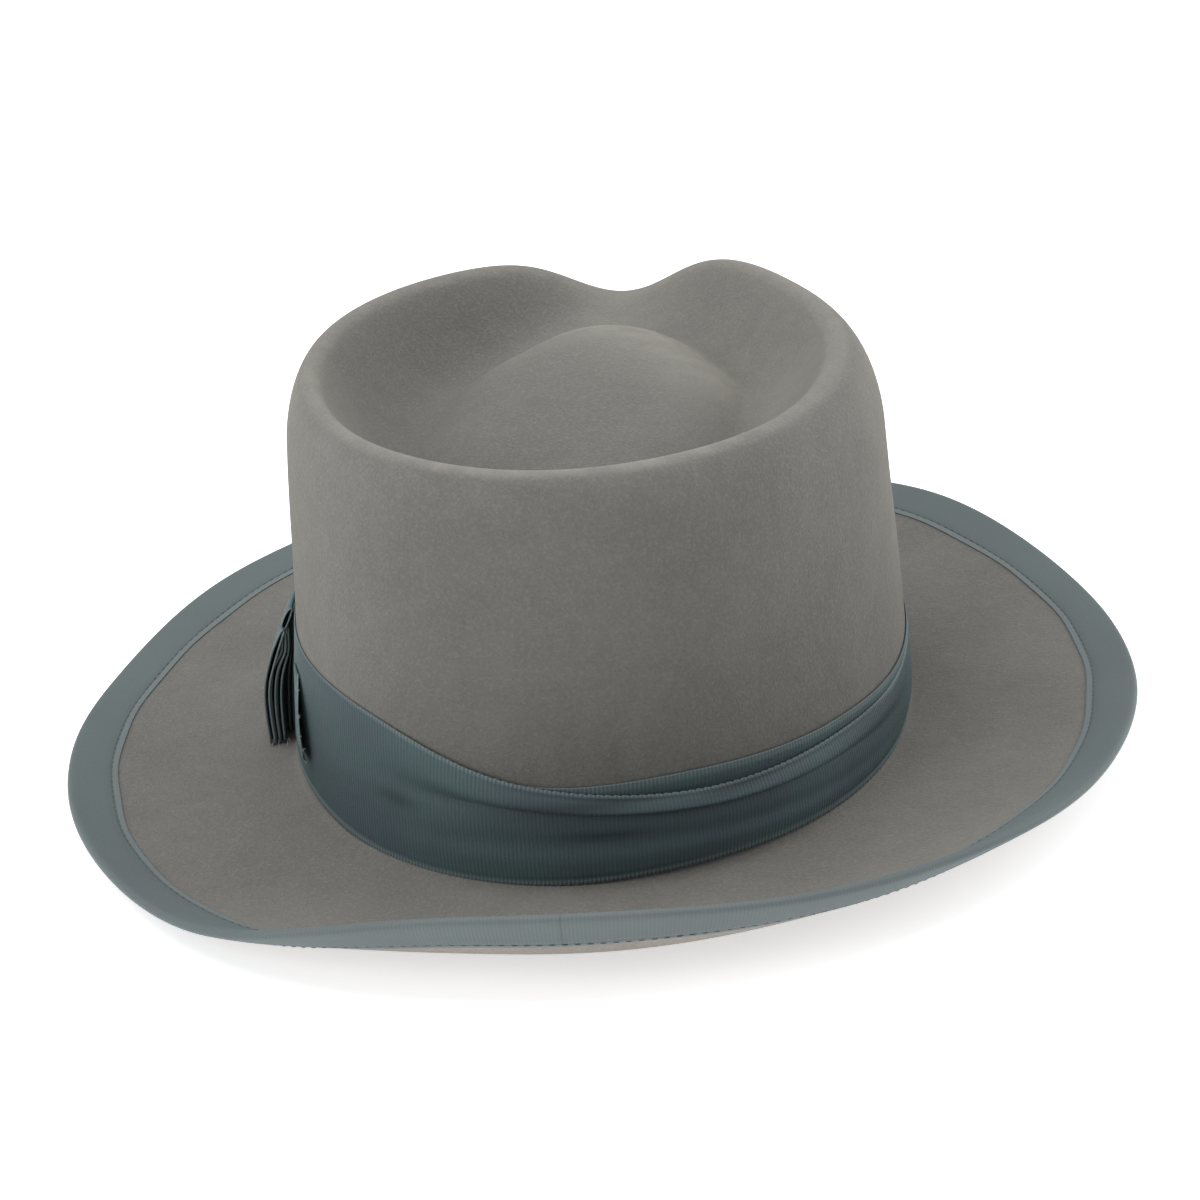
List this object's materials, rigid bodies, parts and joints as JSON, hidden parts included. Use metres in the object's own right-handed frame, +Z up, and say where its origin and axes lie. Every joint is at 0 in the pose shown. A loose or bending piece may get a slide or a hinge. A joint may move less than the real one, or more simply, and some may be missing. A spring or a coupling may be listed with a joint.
{
  "type": "felt fedora hat",
  "caption": "Soft felt hat with a teardrop-creased crown, a ribbon-bound brim curled up at the rear, a grosgrain band and a flat side bow; open below for the head.",
  "frame": {"origin": "centre of the hat's bounding box in plan, at its lowest point, where it rests on its brim", "axes": "+Z up through the crown; the wearer faces -Y; the wearer's left, with the bow, is +X"},
  "size_m": [0.3014, 0.3284, 0.1165],
  "materials": {
    "felt": "short-napped grey-brown fur felt, matt with a soft sheen at grazing angles",
    "binding_ribbon": "ribbed grosgrain, blue-grey, slightly faded",
    "band_ribbon": "ribbed grosgrain, dark teal-grey, with picot edges",
    "thread": "sewing thread",
    "sweatband_leather": "smooth brown leather",
    "reed_plastic": "translucent reed",
    "reed_tape": "woven tape",
    "lining_satin": "satin weave",
    "tag_paper": "blank card"
  },
  "bodies": {
    "root": {"felt_body": "felt", "brim_binding": "binding_ribbon", "binding_stitch_upper": "thread", "binding_stitch_lower": "thread", "hat_band": "band_ribbon", "under_band": "band_ribbon", "bow_layer_1": "band_ribbon", "bow_layer_2": "band_ribbon", "bow_layer_3": "band_ribbon", "bow_layer_4": "band_ribbon", "bow_layer_5": "band_ribbon", "bow_layer_6": "band_ribbon", "bow_knot": "band_ribbon", "bow_upper_loop": "band_ribbon", "band_end_flap": "band_ribbon", "sweatband": "sweatband_leather", "sweatband_reed": "reed_plastic", "reed_tape": "reed_tape", "sweatband_stitch": "thread", "sweatband_rear_bow": "band_ribbon", "size_tag": "tag_paper", "lining_side": "lining_satin", "lining_tip": "lining_satin"}
  },
  "joints": []
}
